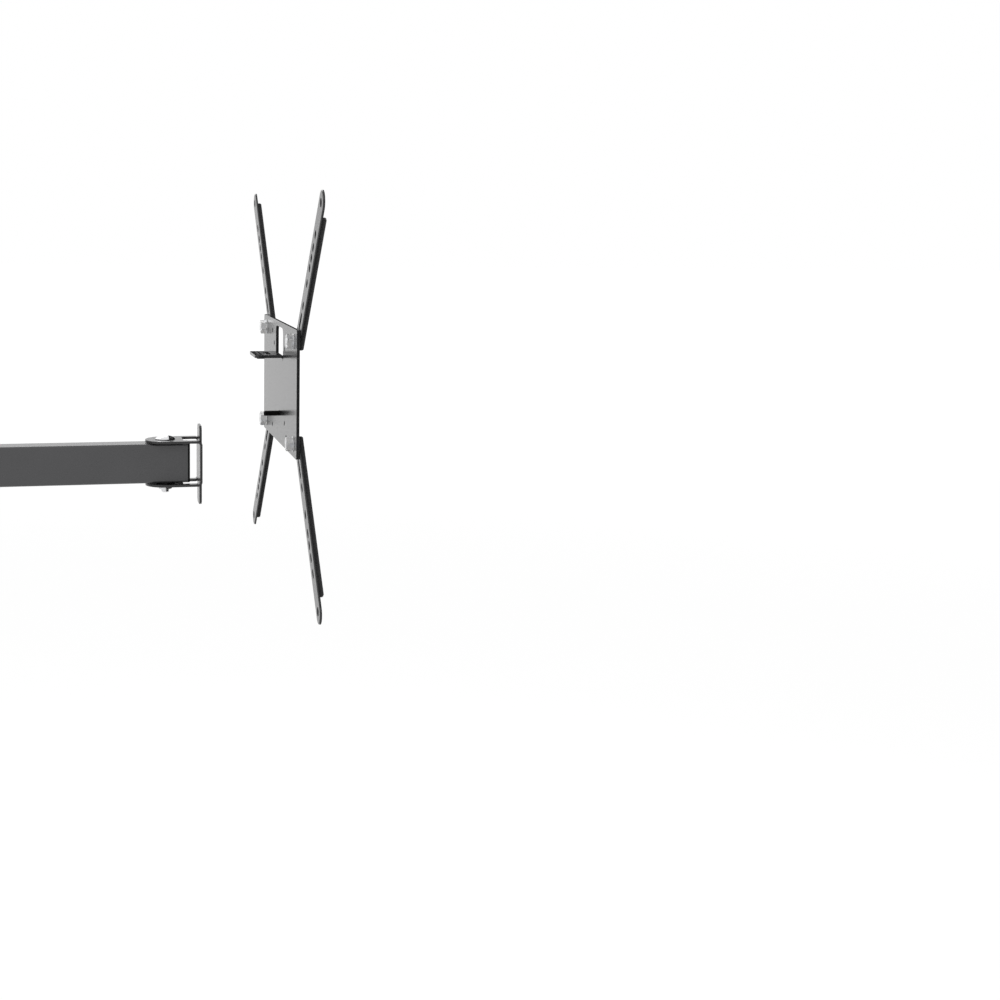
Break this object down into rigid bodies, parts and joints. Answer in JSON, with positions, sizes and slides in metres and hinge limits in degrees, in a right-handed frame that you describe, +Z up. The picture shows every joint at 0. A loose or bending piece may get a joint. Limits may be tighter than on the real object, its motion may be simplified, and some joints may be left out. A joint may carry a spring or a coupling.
{
  "type": "full motion tv wall mount",
  "caption": "Swivelling wall arm of two steel box tubes with a head bracket, and a lift-off television bracket with slotted arms, hooked on by a tongue and tilted by a screw.",
  "frame": {"origin": "centre of the wall plate's back face, on the arms' centre line", "axes": "+X out from the wall, +Y along the wall, +Z up"},
  "size_m": [0.6232, 0.4804, 0.3892],
  "materials": {
    "black_steel": "fine satin powder coat",
    "chrome": "bright plated",
    "zinc": "bright zinc plate",
    "black_plastic": "matt moulded",
    "nylon": "moulded nylon",
    "black_screw": "black oxide"
  },
  "bodies": {
    "wall_mount": {"wall_plate": "black_steel", "wall_clevis": "black_steel", "wall_pivot_bolt": "chrome", "wall_pivot_nut": "zinc"},
    "rear_arm": {"rear_arm_tube": "black_steel", "rear_arm_cap": "black_plastic", "wall_upper_bush": "nylon", "wall_lower_bush": "nylon", "elbow_bracket": "black_steel", "elbow_pivot_bolt": "chrome", "elbow_pivot_nut": "zinc"},
    "front_arm": {"front_arm_tube": "black_steel", "front_arm_elbow_cap": "black_plastic", "front_arm_head_cap": "black_plastic", "elbow_upper_bush": "nylon", "elbow_lower_bush": "nylon", "head_upper_bush": "nylon", "head_lower_bush": "nylon"},
    "head": {"head_bracket": "black_steel", "head_pivot_bolt": "chrome", "head_pivot_nut": "zinc"},
    "hook_liner": {"hook_liner": "nylon"},
    "tv_bracket": {"tv_plate": "black_steel", "tilt_weld_nut": "zinc", "upper_left_clamp_bolt": "zinc", "upper_left_clamp_washer": "zinc", "upper_left_clamp_nut": "zinc", "upper_right_clamp_bolt": "zinc", "upper_right_clamp_washer": "zinc", "upper_right_clamp_nut": "zinc", "lower_left_clamp_bolt": "zinc", "lower_left_clamp_washer": "zinc", "lower_left_clamp_nut": "zinc", "lower_right_clamp_bolt": "zinc", "lower_right_clamp_washer": "zinc", "lower_right_clamp_nut": "zinc"},
    "tilt_screw": {"tilt_screw": "black_screw"},
    "upper_left_arm": {"upper_left_slot_arm": "black_steel"},
    "upper_right_arm": {"upper_right_slot_arm": "black_steel"},
    "lower_left_arm": {"lower_left_slot_arm": "black_steel"},
    "lower_right_arm": {"lower_right_slot_arm": "black_steel"}
  },
  "joints": [
    {"name": "wall_swivel", "type": "hinge", "parent": "wall_mount", "child": "rear_arm", "pos_m": [0.0384, 0, 0], "axis": [0, 0, 1], "range_deg": [-90, 90]},
    {"name": "elbow", "type": "hinge", "parent": "rear_arm", "child": "front_arm", "pos_m": [0.2584, 0, 0], "axis": [0, 0, -1], "range_deg": [-125, 125]},
    {"name": "head_swivel", "type": "hinge", "parent": "front_arm", "child": "head", "pos_m": [0.4984, 0, 0], "axis": [0, 0, 1], "range_deg": [-90, 90]},
    {"name": "hang_on", "type": "slide", "parent": "head", "child": "hook_liner", "axis": [-0.5938, 0, -0.8046], "range_m": [0, 0.10197]},
    {"name": "tilt", "type": "hinge", "parent": "hook_liner", "child": "tv_bracket", "pos_m": [0.5936, 0, 0.1071], "axis": [0, 1, 0], "range_deg": [-5, 3.5]},
    {"name": "upper_left_spread", "type": "hinge", "parent": "tv_bracket", "child": "upper_left_arm", "pos_m": [0.6177, -0.096, 0.13], "axis": [-1, 0, 0], "range_deg": [-18, 40]},
    {"name": "upper_right_spread", "type": "hinge", "parent": "tv_bracket", "child": "upper_right_arm", "pos_m": [0.6177, 0.096, 0.13], "axis": [1, 0, 0], "range_deg": [-18, 40]},
    {"name": "lower_left_spread", "type": "hinge", "parent": "tv_bracket", "child": "lower_left_arm", "pos_m": [0.6177, -0.096, 0.03], "axis": [1, 0, 0], "range_deg": [-18, 40]},
    {"name": "lower_right_spread", "type": "hinge", "parent": "tv_bracket", "child": "lower_right_arm", "pos_m": [0.6177, 0.096, 0.03], "axis": [-1, 0, 0], "range_deg": [-18, 40]},
    {"name": "tilt_adjust", "type": "slide", "parent": "tv_bracket", "child": "tilt_screw", "axis": [1, 0, 0], "range_m": [-0.003, 0]}
  ]
}
